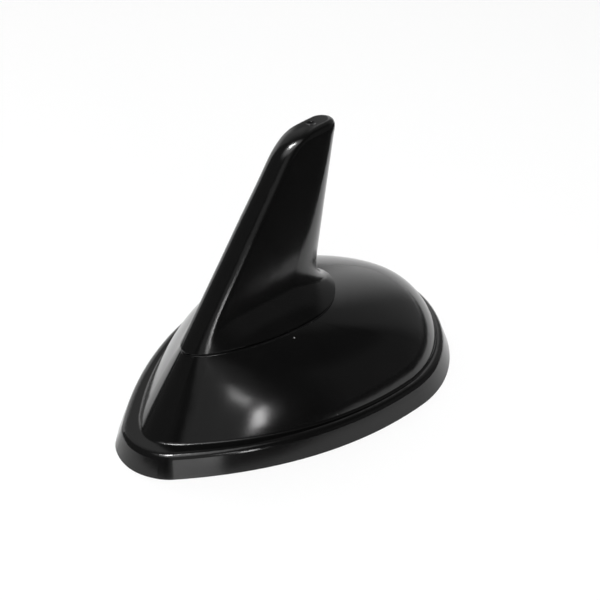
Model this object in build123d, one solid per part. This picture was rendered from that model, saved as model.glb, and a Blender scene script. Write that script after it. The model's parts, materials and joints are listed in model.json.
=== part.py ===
from build123d import *
import os
from dataclasses import dataclass, replace
from math import atan2, cos, degrees, hypot, pi, sin, sqrt, tan

# All sizes are in millimetres. X runs from the nose to the tail, Z points up, and the roof is at z = 0.

# Rim, the flared skirt that stands on the roof
LENGTH = 130.0
WIDTH = 88.4
RIM_HEIGHT = 7.1
RIM_LEAN = 2.7  # the rim's wall leans in this far over its height
RIM_ROUND = 2.2
RIM_BLUNT = 11.6  # half-width of the nose between its corners
RIM_CROWN = 6.3
RIM_CORNER = 2.6
RIM_WALL = 2.2
LEDGE = 2.5  # from the rim's edge to the dome's foot, at the sides
TAIL_LEDGE = 2.1
NOSE_LEDGE = 5.0
LEDGE_THICKNESS = 2.4

# Shape of every horizontal outline, as shares of its own chord and half-width
WIDEST_SHARE = 0.64
SIDE_PULL = 0.468
TAIL_RUN = 0.56
TAIL_RISE = 0.41

# Dome
DOME_WALL = 2.2
FOOT_BLUNT = 8.5
FOOT_CROWN = 5.7
FOOT_CORNER = 3.4
FOOT_FILLET = 0.5
SIDE_LEAN = 0.14  # place of the tangents' meeting point on the profile of the sides
SIDE_LIFT = 0.63
BACK_LEAN = 0.10  # and on the profile of the back
BACK_LIFT = 0.62
BOSS_RADIUS = 3.0
BOSS_DEPTH = 12.0  # how deep the cover screws reach into their bosses
BOSS_CLEAR = 1.0  # wall outside the bosses at the screws' tips
COVER_SCREW_SHARES = [(0.12, 0.36), (0.53, 0.85), (0.9, 0.55)]  # of the boss line's chord and half-width

# Seam between fin and dome
SEAM_HEIGHT = 30.0
SEAM_NOSE_X = -38.6
SEAM_BLUNT = 4.6
SEAM_CROWN = 3.4
SEAM_CORNER = 2.1
SEAM_HALF = 15.9
SEAM_TAIL_X = 20.9
SEAM_ROUND = 0.65  # of the two edges that meet at the seam
SEAL_LAND = 1.0  # bare land outside the fin's seal
SEAL_WIDTH = 2.0
SEAL_THICKNESS = 0.8

# Fin
HEIGHT = 86.4
FIN_WALL = 2.0
FIN_TOP_X = 5.3  # where the straight leading face would reach the top
FIN_TOP_BLUNT = 4.1
FIN_FOOT_HALF = 8.0  # half-width that the slim blade would have at the seam, without its flare
FIN_TOP_HALF = 4.5
TRAIL_SEAM_X = 13.8
TRAIL_SLOPE = 0.185
SIDE_FLARE_HEIGHT = 16.0
TAIL_FLARE_HEIGHT = 11.0
FLARE_POWER = 3.3
TIP_NOSE_ROUND = 19.0
TIP_SIDE_ROUND = 2.6
TIP_TAIL_ROUND = 3.6
TIP_CEILING = 6.0  # solid tip above the fin's hollow
DIMPLE_X = 14.0
DIMPLE_RADIUS = 1.5
DIMPLE_DEPTH = 0.5
SPIGOT_DEPTH = 4.8
SPIGOT_WALL = 1.6
HOOK_REACH = 0.7
HOOK_HEIGHT = 1.4
HOOK_LENGTH = 8.0
HOOK_PLACES = [-18, 2]

# Clearances
FIT = 0.2  # between mouldings that plug together
PLATE_FIT = 0.3  # between the plate or gasket and the rim
HOLE_FIT = 0.3  # round a screw's shank or head

# Base plate and gasket
GASKET_THICKNESS = 1.7
GASKET_GROOVE_WIDTH = 1.2
GASKET_GROOVE_DEPTH = 0.6
GASKET_GROOVES = [2.0, 4.4]  # insets of the sealing grooves
PLATE_THICKNESS = 3.0
SPIGOT_RING_WALL = 1.6
SPIGOT_RING_HEIGHT = 2.0
COVER_SEAL_INSET = 0.7
COVER_SEAL_WIDTH = 1.2
COVER_SEAL_DEPTH = 1.2
RIB_WIDTH = 1.6
RIB_HEIGHT = 2.0

# Roof bolt bush and cable grommet
FLUSH = 0.3  # bush and grommet stop this far above the roof
BUSH_BORE = 2.5
BUSH_RADIUS = 5.0
BUSH_HEIGHT = 6.6
BUSH_CAP = 1.0
BUSH_FLANGE = 7.5
BUSH_BOSS = 8.6
GROMMET_X = 25.0
GROMMET_BORE = 3.2
GROMMET_NECK = 5.6
GROMMET_FLANGE = 7.6
GROMMET_LIP = 1.4

# Circuit board
BOARD_GAP = 4.4  # height of the posts under the board
BOARD_THICKNESS = 1.6
BOARD_INSET = 6.4  # from the dome's hollow to the board's edge, which leaves the bosses free
POST_RADIUS = 2.8
BOARD_SCREW_PLACES = [(-21, 9.5), (24, 17)]  # one side, mirrored to the other
PATCH_SIZE = 25.0
PATCH_THICKNESS = 4.0
PATCH_CORNER = 1.25
PATCH_TAIL_GAP = 14.0  # from the board's tail to the patch
PATCH_PIN_RADIUS = 0.7
PATCH_PIN_HEAD = 1.5
PATCH_PIN_OFFSET = 2.2
CAN_LENGTH = 20.0
CAN_WIDTH = 12.0
CAN_HEIGHT = 4.2
CAN_SHEET = 0.3
CAN_CORNER = 0.9
CAN_GAP = 3.6  # from the can to the patch
CAN_Y = -13.0
SOCKET_SIZE = 6.0
SOCKET_HEIGHT = 3.6
SOCKET_PORT = 1.8
SOCKET_ROOF = 1.2
SOCKET_PLACES = [(9, 14), (9, -14)]
# Each chip's place from the can's middle, then its length, width and height
CHIPS = [(-5, 0, 5.0, 5.0, 1.0), (4, -1.5, 4.0, 4.0, 0.9), (5, 3, 3.0, 2.0, 1.1), (3, 26, 6.0, 4.0, 1.6)]

# Screws
COVER_SHANK = 1.3
COVER_HEAD = 2.7
COVER_HEAD_HEIGHT = 1.7
BOARD_SHANK = 1.1
BOARD_HEAD = 2.1
BOARD_HEAD_HEIGHT = 1.5
BOARD_SCREW_LENGTH = 5.0
DRIVE_WIDTH = 0.7
DRIVE_DEPTH = 0.8
DRIVE_SPAN = 0.6  # share of the head's diameter
HEAD_ROUND = 0.33  # share of the head's height

# Mast inside the fin
CARRIER_THICKNESS = 2.0
CARRIER_FRONT_GAP = 3.4  # from the hollow's leading side
CARRIER_REAR_GAP = 2.6
CARRIER_FOOT = (-13.0, 5.0)
CARRIER_ARM_LIFT = 12.2  # height of the carrier's arm above the board
CARRIER_TOP_GAP = 3.4
ELEMENT_SHEET = 0.4
ELEMENT_MARGIN = 1.6
ELEMENT_FOOT = 30.5
SLOT_HEIGHT = 1.6
SLOT_PITCH = 6.6
SLOT_BRIDGE = 3.6
STRIP_WIDTH = 5.0
STRIP_X = -2.0
STAKE_RADIUS = 1.0
STAKE_HEAD = 1.7
STAKE_HEAD_HEIGHT = 0.5
STAKE_LOW = 3.4  # from the radiator's foot
STAKE_HIGH = 5.1  # from the carrier's top
COIL_X = -22.0
COIL_CORE = 2.4
COIL_WIRE = 1.0
TURN_FLATNESS = 1.01  # radius of a turn's ridge over half its pitch
COIL_FLANGE = 4.2
COIL_FLANGE_THICKNESS = 1.4
CLIP_SHEET = 0.4
CLIP_WIDTH = 4.0
CLIP_REACH = 4.5
CLIP_HEIGHT = 4.0
CLIP_DROOP = 0.4
CLIP_LIP = 0.8
FOAM_INSET = 3.1  # from both ends of the carrier's top
FOAM_WIDTH = 3.6

# Sections in the lofts
ROUND_STEPS = 4
DOME_STEPS = 7
FLARE_STEPS = 7
BLADE_STEPS = 3
TIP_STEPS = 7
HOLLOW_STEPS = 5
CORNER_SHARE = 0.8  # most of a nose's slanted edge that its corner may take

# Levels that several pieces share
POCKET_TOP = RIM_HEIGHT - LEDGE_THICKNESS
PLATE_TOP = GASKET_THICKNESS + PLATE_THICKNESS
BOARD_BASE = PLATE_TOP + BOARD_GAP
BOARD_TOP = BOARD_BASE + BOARD_THICKNESS
FOOT_TOP = RIM_HEIGHT + FOOT_FILLET
DOME_TOP = SEAM_HEIGHT - SEAM_ROUND
FIN_BASE = SEAM_HEIGHT + SEAM_ROUND
FIN_CEILING = HEIGHT - TIP_CEILING
FIN_SLOPE = (FIN_TOP_X - SEAM_NOSE_X) / (HEIGHT - FIN_BASE)  # how far the leading face goes back as it rises
CARRIER_ARM = BOARD_TOP + CARRIER_ARM_LIFT
CARRIER_TOP = FIN_CEILING - CARRIER_TOP_GAP


@dataclass
class Leaf:
    """A horizontal outline with a blunt crowned nose, rounded corners, bowed sides and a round tail."""

    nose: float  # x of the nose corners before rounding
    blunt: float  # y of the nose corners before rounding
    crown: float  # how far the nose's tangents meet ahead of its corners
    corner: float  # reach of the rounding along both sides of a nose corner
    half: float  # half-width at the widest place
    tail: float  # x of the tail

    def widest(self):
        return self.nose + WIDEST_SHARE * (self.tail - self.nose)

    def side_point(self):
        """Where the tangents of the bowed side meet."""
        return Vector(self.nose + SIDE_PULL * (self.widest() - self.nose), self.half)

    def inset(self, gap):
        """The same outline drawn in by a gap all round."""
        side = self.side_point()
        slant = atan2(side.Y - self.blunt, side.X - self.nose)
        edge = atan2(self.blunt, self.crown)
        spread = sin(edge - slant)
        back = gap * (cos(slant) - cos(edge)) / spread
        blunt = self.blunt - gap * (sin(edge) - sin(slant)) / spread
        crown = self.crown + back - gap / sin(edge)
        corner = max(self.corner - gap * tan((edge - slant) / 2), self.corner / 4)
        return replace(
            self,
            nose=self.nose + back,
            blunt=blunt,
            crown=crown,
            corner=min(corner, CORNER_SHARE * hypot(crown, blunt)),
            half=self.half - gap,
            tail=self.tail - gap,
        )

    def face(self, z):
        """The outline as a flat face at a height."""
        apex = Vector(self.nose, self.blunt)
        tip = Vector(self.nose - self.crown, 0)
        side = self.side_point()
        front = apex + (tip - apex).normalized() * self.corner
        back = apex + (side - apex).normalized() * self.corner
        wide = Vector(self.widest(), self.half)
        run = Vector(wide.X + TAIL_RUN * (self.tail - wide.X), self.half)
        rise = Vector(self.tail, TAIL_RISE * self.half)
        end = Vector(self.tail, 0)
        left = [[front, apex, back], [back, side, wide], [wide, run, rise, end]]
        right = [[flip(point) for point in reversed(curve)] for curve in reversed(left)]
        curves = [[flip(front), tip, front], *left, *right]
        return Face(Wire([Bezier(*[(p.X, p.Y, z) for p in curve]) for curve in curves]))

    def slab(self, bottom, top):
        """The outline as a straight-walled solid."""
        return extrude(self.face(bottom), top - bottom, dir=(0, 0, 1))


def flip(point):
    return Vector(point.X, -point.Y)


def both_sides(places):
    return [(x, side * y) for x, y in places for side in (1, -1)]


def blend(start, end, share):
    return start + (end - start) * share


def heights(start, end, steps):
    return [blend(start, end, i / steps) for i in range(steps + 1)]


def nose_corner_x(tip_x, blunt, crown, corner):
    """x of the nose corners of an outline whose foremost point is at tip_x."""
    return tip_x + crown / 2 * (1 + corner / hypot(crown, blunt))


def bowed(share, lean, lift):
    """Share of a run that is covered at a share of its rise, along a parabola."""
    t = (lift - sqrt(lift**2 - (2 * lift - 1) * share)) / (2 * lift - 1)
    return 2 * lean * t * (1 - t) + t * t


def rounded(z, top, radius):
    """How far an edge rounded to a radius has drawn in at a height."""
    over = min(max(z - (top - radius), 0), radius)
    return radius - sqrt(radius**2 - over**2)


def disc(x, y, bottom, top, radius):
    return Pos(x, y, (bottom + top) / 2) * Cylinder(radius, top - bottom)


def block(x, y, bottom, length, width, height):
    return Pos(x, y, bottom + height / 2) * Box(length, width, height)


RIM = Leaf(
    nose=nose_corner_x(-LENGTH / 2, RIM_BLUNT, RIM_CROWN, RIM_CORNER),
    blunt=RIM_BLUNT,
    crown=RIM_CROWN,
    corner=RIM_CORNER,
    half=WIDTH / 2,
    tail=LENGTH / 2,
)
FOOT = Leaf(
    nose=nose_corner_x(-LENGTH / 2 + RIM_LEAN + NOSE_LEDGE, FOOT_BLUNT, FOOT_CROWN, FOOT_CORNER),
    blunt=FOOT_BLUNT,
    crown=FOOT_CROWN,
    corner=FOOT_CORNER,
    half=WIDTH / 2 - RIM_LEAN - LEDGE,
    tail=LENGTH / 2 - RIM_LEAN - TAIL_LEDGE,
)
SEAM = Leaf(SEAM_NOSE_X, SEAM_BLUNT, SEAM_CROWN, SEAM_CORNER, SEAM_HALF, SEAM_TAIL_X)
POCKET = RIM.inset(RIM_WALL + RIM_LEAN * POCKET_TOP / RIM_HEIGHT)
PLATE = POCKET.inset(PLATE_FIT)
OPENING = SEAM.inset(SEAL_LAND + SEAL_WIDTH)
SPIGOT = OPENING.inset(FIT)


def dome_leaf(z):
    """Outline of the dome between its foot on the rim and the seam."""
    rise = (z - RIM_HEIGHT) / (DOME_TOP - RIM_HEIGHT)
    side = bowed(rise, SIDE_LEAN, SIDE_LIFT)
    back = bowed(rise, BACK_LEAN, BACK_LIFT)
    return Leaf(
        nose=blend(FOOT.nose, SEAM.nose, rise),
        blunt=blend(FOOT.blunt, SEAM.blunt, rise),
        crown=blend(FOOT.crown, SEAM.crown, rise),
        corner=blend(FOOT.corner, SEAM.corner, rise),
        half=blend(FOOT.half, SEAM.half, side),
        tail=blend(FOOT.tail, SEAM.tail, back),
    )


def hollow_leaf(z):
    """Outline of the dome's hollow, one wall below and inside its outer face."""
    return dome_leaf(z + DOME_WALL).inset(DOME_WALL)


BOARD = hollow_leaf(RIM_HEIGHT - DOME_WALL).inset(BOARD_INSET)
PATCH_X = BOARD.tail - PATCH_TAIL_GAP - PATCH_SIZE / 2
CAN_X = PATCH_X - PATCH_SIZE / 2 - CAN_GAP - CAN_LENGTH / 2


def fin_nose_x(z):
    """The straight leading face, rounded over into the tip."""
    turn = atan2(1, FIN_SLOPE)
    reach = TIP_NOSE_ROUND * tan(turn / 2)
    if z <= HEIGHT - reach * sin(turn):
        return SEAM_NOSE_X + FIN_SLOPE * (z - FIN_BASE)
    centre_x = FIN_TOP_X + reach
    return centre_x - sqrt(TIP_NOSE_ROUND**2 - (z - HEIGHT + TIP_NOSE_ROUND) ** 2)


def fin_leaf(z):
    """Outline of the fin between the seam and its tip."""
    above = z - FIN_BASE
    rise = above / (HEIGHT - FIN_BASE)
    side_flare = max(1 - above / SIDE_FLARE_HEIGHT, 0) ** FLARE_POWER
    tail_flare = max(1 - above / TAIL_FLARE_HEIGHT, 0) ** FLARE_POWER
    half = blend(FIN_FOOT_HALF, FIN_TOP_HALF, rise) + (SEAM_HALF - FIN_FOOT_HALF) * side_flare
    tail = TRAIL_SEAM_X + TRAIL_SLOPE * above + (SEAM_TAIL_X - TRAIL_SEAM_X) * tail_flare
    side_round = rounded(z, HEIGHT, TIP_SIDE_ROUND)
    blunt = blend(SEAM_BLUNT, FIN_TOP_BLUNT, rise) - side_round
    return Leaf(
        nose=fin_nose_x(z),
        blunt=blunt,
        crown=SEAM_CROWN * blunt / SEAM_BLUNT,
        corner=SEAM_CORNER - side_round / 2,
        half=half - side_round,
        tail=tail - rounded(z, HEIGHT, TIP_TAIL_ROUND),
    )


def rim_solid():
    """The leaning wall, rounded over into the ledge."""
    lean = atan2(RIM_LEAN, RIM_HEIGHT)
    centre_z = RIM_HEIGHT - RIM_ROUND
    centre = RIM_LEAN + RIM_ROUND * tan((pi / 2 - lean) / 2)
    shoulder = []
    for angle in heights(lean, pi / 2, ROUND_STEPS):
        edge = RIM.inset(centre - RIM_ROUND * cos(angle))
        shoulder.append(edge.face(centre_z + RIM_ROUND * sin(angle)))
    return loft([RIM.face(0), shoulder[0]], ruled=True) + loft(shoulder)


def foot_fillet():
    """The hollow rounding where the dome rises from the ledge."""
    sections = []
    for angle in heights(0, pi / 2, ROUND_STEPS):
        z = RIM_HEIGHT + FOOT_FILLET * (1 - cos(angle))
        sections.append(dome_leaf(z).inset(FOOT_FILLET * (sin(angle) - 1)).face(z))
    return loft(sections)


def seam_round(side):
    """The rounded edge of one of the two mouldings, below the seam for side -1 and above it for side 1."""
    sections = []
    for angle in heights(0, pi / 2, ROUND_STEPS):
        z = SEAM_HEIGHT + side * SEAM_ROUND * (1 - sin(angle))
        sections.append(SEAM.inset(SEAM_ROUND * (1 - cos(angle))).face(z))
    return loft(sections)


def dome_outside():
    dome = loft([dome_leaf(z).face(z) for z in heights(FOOT_TOP, DOME_TOP, DOME_STEPS)])
    return rim_solid() + foot_fillet() + dome + seam_round(-1)


def dome_hollow():
    foot = RIM_HEIGHT - DOME_WALL
    hollow = loft([hollow_leaf(z).face(z) for z in heights(foot, DOME_TOP - DOME_WALL, HOLLOW_STEPS)])
    return hollow + hollow_leaf(foot).slab(0, foot) + POCKET.slab(0, POCKET_TOP)


def cover_screw_places():
    """Places inside the dome's wall at the height of the screws' tips."""
    line = dome_leaf(PLATE_TOP + BOSS_DEPTH).inset(BOSS_RADIUS + BOSS_CLEAR)
    return both_sides([(blend(line.nose, line.tail, x), y * line.half) for x, y in COVER_SCREW_SHARES])


def dome_cover():
    outside = dome_outside()
    cover = outside - dome_hollow()
    for x, y in cover_screw_places():
        cover += disc(x, y, PLATE_TOP, DOME_TOP, BOSS_RADIUS) & outside
        cover -= disc(x, y, PLATE_TOP, PLATE_TOP + BOSS_DEPTH, COVER_SHANK)
    cover -= OPENING.slab(RIM_HEIGHT, HEIGHT)
    return cover - SEAM.inset(SEAL_LAND).slab(SEAM_HEIGHT - SEAL_THICKNESS, HEIGHT)


def fin_seal():
    ring = SEAM.inset(SEAL_LAND).slab(SEAM_HEIGHT - SEAL_THICKNESS, SEAM_HEIGHT)
    return ring - OPENING.slab(0, HEIGHT)


def fin_outside():
    flare_top = FIN_BASE + SIDE_FLARE_HEIGHT
    tip = HEIGHT - TIP_NOSE_ROUND / 2
    levels = heights(FIN_BASE, flare_top, FLARE_STEPS) + heights(flare_top, tip, BLADE_STEPS)[1:]
    levels += [HEIGHT - (HEIGHT - tip) * (1 - i / TIP_STEPS) ** 2 for i in range(1, TIP_STEPS + 1)]
    return loft([fin_leaf(z).face(z) for z in levels]) + seam_round(1)


def fin_hollow():
    floor = SPIGOT.inset(SPIGOT_WALL)
    flare_top = FIN_BASE + SIDE_FLARE_HEIGHT / 2
    levels = heights(flare_top, FIN_CEILING, HOLLOW_STEPS)
    upper = [fin_leaf(z + FIN_WALL).inset(FIN_WALL).face(z) for z in levels]
    hollow = loft([floor.face(FIN_BASE), *upper])
    return hollow + floor.slab(SEAM_HEIGHT - SPIGOT_DEPTH, FIN_BASE)


def fin_hooks():
    """Snap hooks on the spigot, which catch under the edge of the dome's opening."""
    top = DOME_TOP - DOME_WALL - FIT / 2
    ring = SPIGOT.inset(-HOOK_REACH).slab(top - HOOK_HEIGHT, top)
    return ring & [block(x, 0, 0, HOOK_LENGTH, WIDTH, HEIGHT) for x in HOOK_PLACES]


def fin_cover():
    spigot = SPIGOT.slab(SEAM_HEIGHT - SPIGOT_DEPTH, SEAM_HEIGHT)
    fin = fin_outside() + spigot + fin_hooks() - fin_hollow()
    ball = (DIMPLE_RADIUS**2 + DIMPLE_DEPTH**2) / (2 * DIMPLE_DEPTH)
    return fin - Pos(DIMPLE_X, 0, HEIGHT - DIMPLE_DEPTH + ball) * Sphere(ball)


def ring_groove(outline, inset, width, bottom, top):
    return outline.inset(inset).slab(bottom, top) - outline.inset(inset + width).slab(bottom, top)


def base_gasket():
    pad = PLATE.slab(0, GASKET_THICKNESS)
    for inset in GASKET_GROOVES:
        pad -= ring_groove(PLATE, inset, GASKET_GROOVE_WIDTH, 0, GASKET_GROOVE_DEPTH)
    pad -= disc(0, 0, 0, GASKET_THICKNESS, BUSH_FLANGE + HOLE_FIT)
    return pad - disc(GROMMET_X, 0, 0, GASKET_THICKNESS, GROMMET_FLANGE + HOLE_FIT)


def plate_ribs():
    """Ribs from the bush boss to the board's posts."""
    ribs = []
    for x, y in both_sides(BOARD_SCREW_PLACES):
        rib = block(hypot(x, y) / 2, 0, PLATE_TOP, hypot(x, y), RIB_WIDTH, RIB_HEIGHT)
        ribs.append(Rot(0, 0, degrees(atan2(y, x))) * rib)
    return ribs


def base_plate():
    plate = PLATE.slab(GASKET_THICKNESS, PLATE_TOP)
    ring_top = PLATE_TOP + SPIGOT_RING_HEIGHT
    plate += ring_groove(hollow_leaf(ring_top), FIT, SPIGOT_RING_WALL, PLATE_TOP, ring_top)
    plate += [disc(x, y, PLATE_TOP, BOARD_BASE, POST_RADIUS) for x, y in both_sides(BOARD_SCREW_PLACES)]
    plate += plate_ribs()
    plate += disc(0, 0, PLATE_TOP, GASKET_THICKNESS + BUSH_HEIGHT, BUSH_BOSS)
    plate -= ring_groove(PLATE, COVER_SEAL_INSET, COVER_SEAL_WIDTH, PLATE_TOP - COVER_SEAL_DEPTH, PLATE_TOP)
    plate -= disc(0, 0, 0, HEIGHT, BUSH_RADIUS)
    plate -= disc(GROMMET_X, 0, 0, PLATE_TOP, GROMMET_NECK)
    for x, y in cover_screw_places():
        plate -= disc(x, y, 0, PLATE_TOP, COVER_SHANK + HOLE_FIT)
        plate -= disc(x, y, 0, GASKET_THICKNESS + COVER_HEAD_HEIGHT, COVER_HEAD + HOLE_FIT)
    for x, y in both_sides(BOARD_SCREW_PLACES):
        plate -= disc(x, y, BOARD_TOP - BOARD_SCREW_LENGTH, BOARD_TOP, BOARD_SHANK)
    return plate


def cover_seal():
    return ring_groove(PLATE, COVER_SEAL_INSET, COVER_SEAL_WIDTH, PLATE_TOP - COVER_SEAL_DEPTH, PLATE_TOP)


def screw(shank, length, head, head_height):
    """A pan-head screw with its shank up and the underside of its head at z = 0."""
    body = Pos(0, 0, length / 2) * Cylinder(shank, length)
    cap = Pos(0, 0, -head_height / 2) * Cylinder(head, head_height)
    cap = fillet(cap.edges().group_by(Axis.Z)[0], HEAD_ROUND * head_height)
    span = DRIVE_SPAN * 2 * head
    slot = Box(span, DRIVE_WIDTH, DRIVE_DEPTH) + Box(DRIVE_WIDTH, span, DRIVE_DEPTH)
    return body + cap - Pos(0, 0, -head_height + DRIVE_DEPTH / 2) * slot


def cover_screws():
    seat = GASKET_THICKNESS + COVER_HEAD_HEIGHT
    length = PLATE_TOP + BOSS_DEPTH - seat
    one = screw(COVER_SHANK, length, COVER_HEAD, COVER_HEAD_HEIGHT)
    return [Pos(x, y, seat) * one for x, y in cover_screw_places()]


def board_screws():
    one = Rot(180, 0, 0) * screw(BOARD_SHANK, BOARD_SCREW_LENGTH, BOARD_HEAD, BOARD_HEAD_HEIGHT)
    return [Pos(x, y, BOARD_TOP) * one for x, y in both_sides(BOARD_SCREW_PLACES)]


def threaded_bush():
    top = GASKET_THICKNESS + BUSH_HEIGHT
    bush = disc(0, 0, FLUSH, top, BUSH_RADIUS)
    bush += disc(0, 0, FLUSH, GASKET_THICKNESS, BUSH_FLANGE)
    return bush - disc(0, 0, 0, top - BUSH_CAP, BUSH_BORE)


def cable_grommet():
    grommet = disc(GROMMET_X, 0, FLUSH, PLATE_TOP + GROMMET_LIP, GROMMET_NECK)
    grommet += disc(GROMMET_X, 0, FLUSH, GASKET_THICKNESS, GROMMET_FLANGE)
    grommet += disc(GROMMET_X, 0, PLATE_TOP, PLATE_TOP + GROMMET_LIP, GROMMET_FLANGE)
    return grommet - disc(GROMMET_X, 0, 0, HEIGHT, GROMMET_BORE)


def circuit_board():
    board = BOARD.slab(BOARD_BASE, BOARD_TOP)
    for x, y in cover_screw_places():
        board -= disc(x, y, BOARD_BASE, BOARD_TOP, BOSS_RADIUS + HOLE_FIT)
    for x, y in both_sides(BOARD_SCREW_PLACES):
        board -= disc(x, y, BOARD_BASE, BOARD_TOP, BOARD_SHANK + HOLE_FIT)
    return board - disc(PATCH_X + PATCH_PIN_OFFSET, 0, BOARD_BASE, BOARD_TOP, PATCH_PIN_RADIUS)


def satellite_patch():
    tile = block(PATCH_X, 0, BOARD_TOP, PATCH_SIZE, PATCH_SIZE, PATCH_THICKNESS)
    tile = chamfer(tile.edges().filter_by(Axis.Z), PATCH_CORNER)
    return tile - disc(PATCH_X + PATCH_PIN_OFFSET, 0, 0, HEIGHT, PATCH_PIN_RADIUS)


def patch_pin():
    top = BOARD_TOP + PATCH_THICKNESS
    pin = disc(PATCH_X + PATCH_PIN_OFFSET, 0, BOARD_BASE, top, PATCH_PIN_RADIUS)
    head = disc(PATCH_X + PATCH_PIN_OFFSET, 0, top, top + PATCH_PIN_RADIUS, PATCH_PIN_HEAD)
    return pin + head


def shield_can():
    can = block(CAN_X, CAN_Y, BOARD_TOP, CAN_LENGTH, CAN_WIDTH, CAN_HEIGHT)
    can = fillet(can.edges().filter_by(Axis.Z), CAN_CORNER)
    length, width = CAN_LENGTH - 2 * CAN_SHEET, CAN_WIDTH - 2 * CAN_SHEET
    return can - block(CAN_X, CAN_Y, BOARD_TOP, length, width, CAN_HEIGHT - CAN_SHEET)


def board_chips():
    return [block(CAN_X + x, CAN_Y + y, BOARD_TOP, *size) for x, y, *size in CHIPS]


def coax_sockets():
    sockets = []
    for x, y in SOCKET_PLACES:
        body = block(x, y, BOARD_BASE - SOCKET_HEIGHT, SOCKET_SIZE, SOCKET_SIZE, SOCKET_HEIGHT)
        port = disc(x, y, BOARD_BASE - SOCKET_HEIGHT, BOARD_BASE - SOCKET_ROOF, SOCKET_PORT)
        sockets.append(body - port)
    return sockets


def carrier_front_x(z):
    return fin_nose_x(z) + FIN_WALL + CARRIER_FRONT_GAP


def carrier_rear_x(z):
    return TRAIL_SEAM_X + TRAIL_SLOPE * (z - FIN_BASE) - FIN_WALL - CARRIER_REAR_GAP


def mast_outline(bottom, top, margin):
    """Side view of the blade inside the fin, between two heights."""
    return [
        (carrier_front_x(bottom) + margin, bottom),
        (carrier_front_x(top) + margin, top),
        (carrier_rear_x(top) - margin, top),
        (carrier_rear_x(bottom) - margin, bottom),
    ]


def upright(points, thickness):
    """A plate standing on the plane of symmetry, from its outline in side view."""
    face = Face(Wire.make_polygon([(x, 0, z) for x, z in points]))
    return extrude(face, thickness / 2, dir=(0, 1, 0), both=True)


def stake_places():
    low, high = ELEMENT_FOOT + STAKE_LOW, CARRIER_TOP - STAKE_HIGH
    return [((carrier_front_x(z) + carrier_rear_x(z)) / 2, z) for z in (low, high)]


def mast_carrier():
    foot_front, foot_rear = CARRIER_FOOT
    blade = upright(mast_outline(ELEMENT_FOOT, CARRIER_TOP, 0), CARRIER_THICKNESS)
    arm = [
        (COIL_X - COIL_FLANGE, CARRIER_ARM),
        (carrier_front_x(ELEMENT_FOOT), ELEMENT_FOOT),
        (carrier_rear_x(ELEMENT_FOOT), ELEMENT_FOOT),
        (foot_rear, CARRIER_ARM),
    ]
    foot = [
        (foot_front, BOARD_TOP),
        (foot_front, CARRIER_ARM),
        (foot_rear, CARRIER_ARM),
        (foot_rear, BOARD_TOP),
    ]
    carrier = blade + upright(arm, CARRIER_THICKNESS) + upright(foot, CARRIER_THICKNESS)
    for x, z in stake_places():
        carrier += stake(x, z)
    return carrier


def stake(x, z):
    """A heat-staked peg that holds the radiator on the carrier."""
    face = CARRIER_THICKNESS / 2
    peg = Pos(x, face + ELEMENT_SHEET / 2, z) * Rot(90, 0, 0) * Cylinder(STAKE_RADIUS, ELEMENT_SHEET)
    head_y = face + ELEMENT_SHEET + STAKE_HEAD_HEIGHT / 2
    return peg + Pos(x, head_y, z) * Rot(90, 0, 0) * Cylinder(STAKE_HEAD, STAKE_HEAD_HEIGHT)


def mast_element():
    top = CARRIER_TOP - ELEMENT_MARGIN
    sheet = upright(mast_outline(ELEMENT_FOOT, top, ELEMENT_MARGIN), ELEMENT_SHEET)
    low, high = [z for _, z in stake_places()]
    z = low + SLOT_PITCH
    from_front = True
    while z < high - SLOT_PITCH / 2:
        front, rear = carrier_front_x(z) + ELEMENT_MARGIN, carrier_rear_x(z) - ELEMENT_MARGIN
        reach = rear - front - SLOT_BRIDGE
        middle = front + reach / 2 if from_front else rear - reach / 2
        sheet -= block(middle, 0, z - SLOT_HEIGHT / 2, reach + SLOT_HEIGHT, ELEMENT_SHEET, SLOT_HEIGHT)
        z += SLOT_PITCH
        from_front = not from_front
    strip_base = BOARD_TOP + CLIP_SHEET
    sheet += block(STRIP_X, 0, strip_base, STRIP_WIDTH, ELEMENT_SHEET, ELEMENT_FOOT - strip_base)
    sheet += block(COIL_X, 0, CARRIER_ARM, STRIP_WIDTH, ELEMENT_SHEET, ELEMENT_FOOT - CARRIER_ARM)
    for x, z in stake_places():
        sheet -= Pos(x, 0, z) * Rot(90, 0, 0) * Cylinder(STAKE_RADIUS, ELEMENT_SHEET)
    return Pos(0, (CARRIER_THICKNESS + ELEMENT_SHEET) / 2, 0) * sheet


def coil_former():
    top = CARRIER_ARM
    former = disc(COIL_X, 0, BOARD_TOP, top, COIL_CORE)
    former += disc(COIL_X, 0, BOARD_TOP, BOARD_TOP + COIL_FLANGE_THICKNESS, COIL_FLANGE)
    return former + disc(COIL_X, 0, top - COIL_FLANGE_THICKNESS, top, COIL_FLANGE)


def loading_coil():
    """The close-wound turns as one solid with a round ridge for each turn."""
    low = BOARD_TOP + COIL_FLANGE_THICKNESS
    turns = int((CARRIER_ARM - COIL_FLANGE_THICKNESS - low) / COIL_WIRE)
    outer = COIL_CORE + COIL_WIRE / 2
    lines = [Line((COIL_CORE, low), (outer, low))]
    for i in range(turns):
        foot = (outer, low + i * COIL_WIRE)
        head = (outer, low + (i + 1) * COIL_WIRE)
        lines.append(RadiusArc(foot, head, -COIL_WIRE / 2 * TURN_FLATNESS))
    high = low + turns * COIL_WIRE
    lines += [Line((outer, high), (COIL_CORE, high)), Line((COIL_CORE, high), (COIL_CORE, low))]
    profile = Plane.XZ * make_face(lines)
    return Pos(COIL_X, 0, 0) * revolve(profile, Axis.Z)


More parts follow.
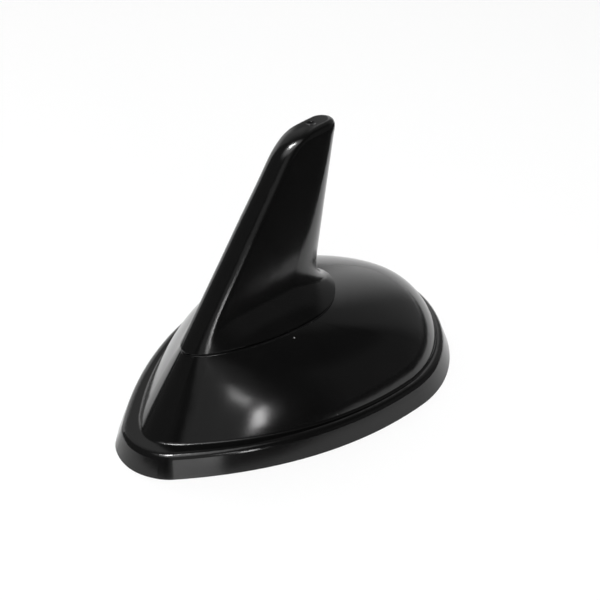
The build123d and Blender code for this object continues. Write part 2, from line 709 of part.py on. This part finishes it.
def feed_clip():
    """A bent leaf spring on the board that presses on the radiator's strip."""
    touch = CARRIER_THICKNESS / 2 + ELEMENT_SHEET
    far = touch + CLIP_REACH
    top = BOARD_TOP + CLIP_HEIGHT
    outline = [
        (touch, BOARD_TOP),
        (far, BOARD_TOP),
        (far, top),
        (touch, top - CLIP_DROOP),
        (touch, top - CLIP_DROOP - CLIP_LIP),
        (far - CLIP_SHEET, top - CLIP_LIP),
        (far - CLIP_SHEET, BOARD_TOP + CLIP_SHEET),
        (touch, BOARD_TOP + CLIP_SHEET),
    ]
    face = Face(Wire.make_polygon([(STRIP_X - CLIP_WIDTH / 2, y, z) for y, z in outline]))
    return extrude(face, CLIP_WIDTH, dir=(1, 0, 0))


def foam_pad():
    front, rear = carrier_front_x(CARRIER_TOP) + FOAM_INSET, carrier_rear_x(CARRIER_TOP) - FOAM_INSET
    return block((front + rear) / 2, 0, CARRIER_TOP, rear - front, FOAM_WIDTH, CARRIER_TOP_GAP)


PIECES = [
    fin_cover, dome_cover, fin_seal, base_plate, base_gasket, cover_seal, cover_screws, threaded_bush,
    cable_grommet, circuit_board, board_screws, board_chips, shield_can, coax_sockets, satellite_patch,
    patch_pin, mast_carrier, mast_element, coil_former, loading_coil, feed_clip, foam_pad,
]

os.makedirs("parts", exist_ok=True)
for piece in PIECES:
    solid = piece()
    if isinstance(solid, list):
        solid = Compound(children=solid)
    export_step(solid, f"parts/{piece.__name__}.step")
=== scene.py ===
import json
import math
import bpy
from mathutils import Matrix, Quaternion, Vector

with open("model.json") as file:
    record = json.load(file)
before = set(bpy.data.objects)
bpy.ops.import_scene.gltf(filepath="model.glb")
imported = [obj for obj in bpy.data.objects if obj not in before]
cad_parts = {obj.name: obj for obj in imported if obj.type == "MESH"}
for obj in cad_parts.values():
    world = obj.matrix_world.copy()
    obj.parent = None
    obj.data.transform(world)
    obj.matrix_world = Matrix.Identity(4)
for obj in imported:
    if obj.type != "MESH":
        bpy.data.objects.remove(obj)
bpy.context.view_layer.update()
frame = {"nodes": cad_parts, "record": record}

# Camera, in pixels of the photograph's frame, metres and degrees
IMAGE_PIXELS = 600
FOCAL_PIXELS = 1377.49
SENSOR_MM = 36.0
CAMERA_AZIMUTH = -46.569
CAMERA_ELEVATION = 34.0
CAMERA_EYE = Vector((-0.25847, -0.25352, 0.27350))
CAMERA_NEAR = 0.01

# Floor, in metres across and away from the camera
FLOOR_SIZE = 6.0
FLOOR_DROP = 0.00002  # how far the floor lies below the part
FLOOR_PALE = 0.8
FLOOR_GLOW = 0.2  # makes the lit floor white

# Dark flags on the floor, round the bare stretch that the camera sees
BARE_HALF = 0.101  # half-width of that stretch beside the part
BARE_WIDENING = 0.184  # gain in half-width for each metre away from the camera
BARE_FRONT = -0.100
FLAG_RIGHT_END = 0.30
FLAG_LEFT_END = 0.10
FLAG_REACH = 2.9
FLAG_LEFT_REACH = 1.45  # the left flag goes this far away from the camera
FLAG_LIFT = 0.0002
FLAG_GREY = 0.08

# Brightness of the room, as shares of white, with its angles in degrees
ROOM_LEVEL = 0.075
# Bright walls: upright edges' azimuths and softness, level edges' elevations and softness, brightness
ROOM_WALLS = [
    ((78, 187), (20, 5), (-60, 62), (20, 40), 0.2),
    ((111, 128), (20, 14), (-60, 50), (20, 30), 0.88),
    ((135, 187), (10, 5), (36, 62), (8, 30), 0.25),
    ((150, 187), (12, 5), (-60, 30), (20, 24), 1.0),
    ((-52, -24), (8, 24), (-12, 70), (10, 30), 0.4),
    ((-178, -63), (6, 10), (-60, 60), (20, 30), 0.09),
    ((5, 75), (20, 30), (-12, 38), (10, 14), 0.09),
]
# Bright patches: azimuth, elevation, angle out to the edge, angle out to the even middle, brightness
ROOM_PATCHES = [
    (-62, 73, 25, 4, 2.4),
]

# Soft boxes: name, azimuth, elevation, turn, distance, width, height, brightness as a share of white
LAMPS = [
    ("overhead", -92, 79, 0, 1.8, 0.30, 0.34, 50.0),
    ("front_low", -27.0, 10.1, 0, 0.309, 0.026, 0.04, 16.0),
    ("front_high", -34.9, 17.4, -35, 0.226, 0.029, 0.0125, 8.0),
    ("front_card", -39.5, -1, 0, 1.0, 0.28, 0.06, 3.8),
]
FILL = ("fill", 0, 90, 0, 1.6, 1.6, 1.6, 0.4)  # a broad one above, which the gloss doesn't show
LAMP_TARGET = Vector((0, 0, 0.03))

# Noise, and the clouds that vary tone and roughness between two levels of it
NOISE_DETAIL = 2
NO_STRETCH = (1, 1, 1)
CLOUD_LEVELS = (0.3, 0.7)
CLOUD_DETAIL = 3

# Polish of the covers, with its patterns in features per metre and its ripples' depth in metres
COVER_DEPTH = 0.3  # the polish looks blacker than the moulding's own tone
COVER_TONES = (0.8, 1.2)
COVER_ROUGHNESS = (0.12, 0.16)
COVER_IOR = 1.47
COVER_CLOUDS = 60
COVER_RIPPLES = 2600
COVER_RIPPLE_DEPTH = 0.000004

# Two specks of dust on the covers: place in metres, paleness
DUST = [
    ((-0.01091, -0.01684, 0.02867), 0.4),
    ((-0.01017, -0.03431, 0.00781), 0.05),
]
DUST_RADIUS = 0.00035
DUST_CORE = 0.5 * DUST_RADIUS

# Scales of the patterns on the inner parts, in their nodes' own units
WEAVE_SCALE = 260
TURNING_SCALE = 900
FOAM_SCALE = 2200

COLOURS = {row["slot"]: row["base_color"] for row in frame["record"]["materials"]}


def direction(azimuth, elevation):
    """Unit vector towards a place round the object: azimuth 0 is in front of its -Y side."""
    a, e = math.radians(azimuth), math.radians(elevation)
    return Vector((math.sin(a) * math.cos(e), -math.cos(a) * math.cos(e), math.sin(e)))


def add_node(tree, kind, inputs=(), **settings):
    """A node with its settings, and with values or other nodes' outputs on its inputs."""
    node = tree.nodes.new(kind)
    for key, value in settings.items():
        setattr(node, key, value)
    for key, value in dict(inputs).items():
        if isinstance(value, bpy.types.NodeSocket):
            tree.links.new(value, node.inputs[key])
        else:
            node.inputs[key].default_value = value
    return node


def math_node(tree, operation, first, second=0.0):
    return add_node(tree, "ShaderNodeMath", {0: first, 1: second}, operation=operation).outputs[0]


def ramp(tree, value, low, high, start, end):
    """A smooth step from start to end as a value goes from low to high."""
    inputs = {"Value": value, "From Min": low, "From Max": high, "To Min": start, "To Max": end}
    return add_node(tree, "ShaderNodeMapRange", inputs, interpolation_type="SMOOTHSTEP").outputs[0]


def connect(tree, shader, key, output):
    tree.links.new(output, shader.inputs[key])


def place(tree, stretch=NO_STRETCH):
    """The part's own coordinates in metres, stretched along its axes."""
    spot = add_node(tree, "ShaderNodeTexCoord").outputs["Object"]
    if stretch == NO_STRETCH:
        return spot
    return add_node(tree, "ShaderNodeMapping", {"Vector": spot, "Scale": stretch}).outputs[0]


def noise(tree, scale, detail=NOISE_DETAIL, stretch=NO_STRETCH):
    """Noise with its scale in features per metre."""
    inputs = {"Vector": place(tree, stretch), "Scale": scale, "Detail": detail}
    return add_node(tree, "ShaderNodeTexNoise", inputs).outputs["Fac"]


def waves(tree, scale, axis, pattern="BANDS"):
    """Even waves along an axis, or rings round it."""
    way = {f"{pattern.lower()}_direction": axis}
    inputs = {"Vector": place(tree), "Scale": scale}
    return add_node(tree, "ShaderNodeTexWave", inputs, wave_type=pattern, **way).outputs["Fac"]


def drift(tree, cloud, ends):
    """A value that drifts from one end to the other with the clouds."""
    return ramp(tree, cloud, *CLOUD_LEVELS, *ends)


def grain(scale, detail=NOISE_DETAIL, stretch=NO_STRETCH):
    """A relief of fine grain."""
    return lambda tree: noise(tree, scale, detail, stretch)


def weave(tree):
    """The faint cloth of a glass laminate."""
    return math_node(tree, "ADD", waves(tree, WEAVE_SCALE, "X"), waves(tree, WEAVE_SCALE, "Y"))


def turned(tree):
    """Tool marks round an upright axis."""
    return waves(tree, TURNING_SCALE, "Z", "RINGS")


def cells(tree):
    """The open cells of a foam."""
    inputs = {"Vector": place(tree), "Scale": FOAM_SCALE}
    return add_node(tree, "ShaderNodeTexVoronoi", inputs).outputs["Distance"]


# Finishes: slot, spread of tone, roughness, relief, depth of relief in metres, metallic, clouds per metre
FINISHES = [
    ("plate_cast", 0.08, (0.42, 0.55), grain(2500), 0.00004, 1.0, 90),
    ("pad_rubber", 0.2, (0.62, 0.8), grain(1800, 4), 0.00005, 0.0, 90),
    ("screw_steel", 0.1, (0.28, 0.42), grain(1500), 0.00001, 1.0, 300),
    ("bush_brass", 0.08, (0.22, 0.34), turned, 0.00002, 1.0, 200),
    ("board_laminate", 0.1, (0.3, 0.4), weave, 0.00003, 0.0, 90),
    ("chip_black", 0.15, (0.5, 0.65), grain(4000, 3), 0.00002, 0.0, 300),
    ("can_tin", 0.08, (0.25, 0.38), grain(500, 3, (1, 12, 12)), 0.00001, 1.0, 90),
    ("patch_ceramic", 0.06, (0.45, 0.6), grain(2200, 5), 0.00002, 0.0, 400),
    ("carrier_plastic", 0.05, (0.4, 0.52), grain(1600), 0.00002, 0.0, 90),
    ("contact_metal", 0.08, (0.24, 0.36), grain(700, 3, (8, 8, 1)), 0.00001, 1.0, 150),
    ("coil_copper", 0.12, (0.2, 0.3), grain(900), 0.00001, 1.0, 250),
    ("foam_grey", 0.25, (0.9, 1.0), cells, 0.0003, 0.0, 600),
]


def new_material(name):
    material = bpy.data.materials.new(name)
    material.use_nodes = True
    return material, material.node_tree, material.node_tree.nodes["Principled BSDF"]


def add_relief(tree, shader, height, depth):
    bump = add_node(tree, "ShaderNodeBump", {"Height": height, "Distance": depth})
    connect(tree, shader, "Normal", bump.outputs["Normal"])


def finish(slot, spread, roughness, relief, depth, metallic, cloud_scale):
    """A material in its slot's colour, clouded in tone and roughness, with a fine relief."""
    material, tree, shader = new_material(slot)
    cloud = noise(tree, cloud_scale, CLOUD_DETAIL)
    shade = drift(tree, cloud, (1 - spread, 1 + spread))
    scaled = add_node(tree, "ShaderNodeVectorMath", {0: COLOURS[slot], "Scale": shade}, operation="SCALE")
    connect(tree, shader, "Base Color", scaled.outputs[0])
    connect(tree, shader, "Roughness", drift(tree, cloud, roughness))
    shader.inputs["Metallic"].default_value = metallic
    add_relief(tree, shader, relief(tree), depth)
    return material


def dust_mask(tree):
    """The paleness of the specks of dust, and 0 elsewhere."""
    mask = 0.0
    for spot, paleness in DUST:
        inputs = {0: place(tree), 1: spot}
        away = add_node(tree, "ShaderNodeVectorMath", inputs, operation="DISTANCE").outputs["Value"]
        mask = math_node(tree, "ADD", ramp(tree, away, DUST_CORE, DUST_RADIUS, paleness, 0.0), mask)
    return mask


def cover_gloss():
    """Polished black moulding, a little uneven in its gloss, with two specks of dust."""
    material, tree, shader = new_material("cover_gloss")
    shader.inputs["IOR"].default_value = COVER_IOR
    cloud = noise(tree, COVER_CLOUDS, CLOUD_DETAIL)
    dust = dust_mask(tree)
    level = COVER_DEPTH * COLOURS["cover_gloss"][0]
    tone = math_node(tree, "ADD", drift(tree, cloud, [level * share for share in COVER_TONES]), dust)
    colour = add_node(tree, "ShaderNodeCombineColor", {0: tone, 1: tone, 2: tone}).outputs[0]
    connect(tree, shader, "Base Color", colour)
    connect(tree, shader, "Roughness", math_node(tree, "ADD", drift(tree, cloud, COVER_ROUGHNESS), dust))
    add_relief(tree, shader, noise(tree, COVER_RIPPLES), COVER_RIPPLE_DEPTH)
    return material


def dress_nodes():
    """Gives every node the material of its slot."""
    materials = {"cover_gloss": cover_gloss()}
    for row in FINISHES:
        materials[row[0]] = finish(*row)
    slots = {part["node"]: part["material_slot"] for part in frame["record"]["subparts"]}
    for name, piece in frame["nodes"].items():
        piece.data.materials.clear()
        piece.data.materials.append(materials[slots[name]])


def make_camera():
    back = direction(CAMERA_AZIMUTH, CAMERA_ELEVATION)
    camera = bpy.data.objects.new("camera", bpy.data.cameras.new("camera"))
    camera.data.sensor_width = SENSOR_MM
    camera.data.lens = FOCAL_PIXELS / IMAGE_PIXELS * SENSOR_MM
    camera.data.clip_start = CAMERA_NEAR
    camera.location = CAMERA_EYE
    camera.rotation_mode = "QUATERNION"
    camera.rotation_quaternion = (-back).to_track_quat("-Z", "Y")
    bpy.context.scene.collection.objects.link(camera)
    bpy.context.scene.camera = camera


def lay_sheet(name, outline, z, material):
    """A flat sheet on the ground, from its corners across and away from the camera."""
    mesh = bpy.data.meshes.new(name)
    mesh.from_pydata([(u, v, 0) for u, v in outline], [], [tuple(range(len(outline)))])
    mesh.materials.append(material)
    sheet = bpy.data.objects.new(name, mesh)
    sheet.location.z = z
    sheet.rotation_euler.z = math.radians(CAMERA_AZIMUTH)
    bpy.context.scene.collection.objects.link(sheet)
    return sheet


def make_matt(shader, grey):
    """Sets a shader to a plain matt grey."""
    shader.inputs["Base Color"].default_value = (grey, grey, grey, 1.0)
    shader.inputs["Roughness"].default_value = 1.0
    shader.inputs["Specular IOR Level"].default_value = 0.0


def floor_paper():
    """Pale paper that glows to white where it is seen or mirrored, and still takes a shadow."""
    material, tree, shader = new_material("floor_paper")
    make_matt(shader, FLOOR_PALE)
    shader.inputs["Emission Color"].default_value = (1.0, 1.0, 1.0, 1.0)
    light = add_node(tree, "ShaderNodeLightPath").outputs
    seen = math_node(tree, "MAXIMUM", light["Is Camera Ray"], light["Is Glossy Ray"])
    seen = math_node(tree, "MAXIMUM", seen, light["Is Transmission Ray"])
    connect(tree, shader, "Emission Strength", math_node(tree, "MULTIPLY", seen, FLOOR_GLOW))
    return material


def flag_cloth():
    """Dark matt cloth."""
    material, _, shader = new_material("flag_cloth")
    make_matt(shader, FLAG_GREY)
    return material


def bare_half(away):
    """Half-width of the bare stretch of floor, at a distance past the part's middle."""
    return BARE_HALF + BARE_WIDENING * away


def make_floor():
    """A pale floor, and dark flags beside the part that only its gloss shows."""
    half = FLOOR_SIZE / 2
    corners = [(-half, -half), (half, -half), (half, half), (-half, half)]
    lay_sheet("floor", corners, -FLOOR_DROP, floor_paper())
    front, right, left = bare_half(BARE_FRONT), bare_half(FLAG_RIGHT_END), bare_half(FLAG_LEFT_END)
    outlines = {
        "flag_front": [(-front, -FLAG_REACH), (front, -FLAG_REACH),
                       (front, BARE_FRONT), (-front, BARE_FRONT)],
        "flag_right": [(front, -FLAG_REACH), (FLAG_REACH, -FLAG_REACH), (FLAG_REACH, FLAG_REACH),
                       (right, FLAG_RIGHT_END), (front, BARE_FRONT)],
        "flag_left": [(-FLAG_REACH, -FLAG_REACH), (-front, -FLAG_REACH), (-front, BARE_FRONT),
                      (-left, FLAG_LEFT_END), (-FLAG_REACH, FLAG_LEFT_REACH)],
    }
    cloth = flag_cloth()
    for name, outline in outlines.items():
        flag = lay_sheet(name, outline, FLAG_LIFT, cloth)
        flag.visible_camera = False
        flag.visible_diffuse = False
        flag.visible_shadow = False


def along(tree, towards, way):
    """How far a direction points along a way."""
    product = add_node(tree, "ShaderNodeVectorMath", {0: towards, 1: way}, operation="DOT_PRODUCT")
    return product.outputs["Value"]


def patch(tree, towards, azimuth, elevation, edge, middle, level):
    """A smooth bright patch of the room round one direction."""
    near = along(tree, towards, direction(azimuth, elevation))
    return ramp(tree, near, math.cos(math.radians(edge)), math.cos(math.radians(middle)), 0.0, level)


def between(tree, angle, edges, softness, middle):
    """1 between two angles and 0 outside them, in degrees from a middle, with soft edges."""
    low, high = [math.radians(edge - middle) for edge in edges]
    low_half, high_half = [math.radians(width / 2) for width in softness]
    rise = ramp(tree, angle, low - low_half, low + low_half, 0.0, 1.0)
    fall = ramp(tree, angle, high - high_half, high + high_half, 1.0, 0.0)
    return math_node(tree, "MULTIPLY", rise, fall)


def wall(tree, towards, azimuths, azimuth_softness, elevations, elevation_softness, level):
    """A bright wall of the room between two upright and two level edges."""
    middle = sum(azimuths) / 2
    sideways = along(tree, towards, direction(middle + 90, 0))
    turn = math_node(tree, "ARCTAN2", sideways, along(tree, towards, direction(middle, 0)))
    rise = math_node(tree, "ARCSINE", along(tree, towards, direction(0, 90)))
    across = between(tree, turn, azimuths, azimuth_softness, middle)
    upright = between(tree, rise, elevations, elevation_softness, 0)
    return math_node(tree, "MULTIPLY", math_node(tree, "MULTIPLY", across, upright), level)


def make_room():
    """A dim room with bright walls and patches, which the gloss mirrors."""
    world = bpy.data.worlds.new("room")
    world.use_nodes = True
    tree = world.node_tree
    towards = add_node(tree, "ShaderNodeTexCoord").outputs["Generated"]
    level = ROOM_LEVEL
    for row in ROOM_PATCHES:
        level = math_node(tree, "ADD", patch(tree, towards, *row), level)
    for row in ROOM_WALLS:
        level = math_node(tree, "ADD", wall(tree, towards, *row), level)
    colour = add_node(tree, "ShaderNodeCombineColor", {0: level, 1: level, 2: level}).outputs[0]
    connect(tree, tree.nodes["Background"], "Color", colour)
    bpy.context.scene.world = world


def make_lamp(name, azimuth, elevation, turn, distance, width, height, brightness):
    """A soft box aimed at the part, unseen by the camera."""
    lamp = bpy.data.lights.new(name, "AREA")
    lamp.shape = "RECTANGLE"
    lamp.size = width
    lamp.size_y = height
    lamp.energy = brightness * math.pi * width * height
    holder = bpy.data.objects.new(name, lamp)
    back = direction(azimuth, elevation)
    holder.location = back * distance + LAMP_TARGET
    holder.rotation_mode = "QUATERNION"
    aim = (-back).to_track_quat("-Z", "Y")
    holder.rotation_quaternion = aim @ Quaternion((0, 0, 1), math.radians(turn))
    holder.visible_camera = False
    bpy.context.scene.collection.objects.link(holder)
    return holder


dress_nodes()
make_camera()
make_floor()
make_room()
for lamp_row in LAMPS:
    make_lamp(*lamp_row)
make_lamp(*FILL).visible_glossy = False
bpy.context.scene.view_settings.view_transform = "Standard"
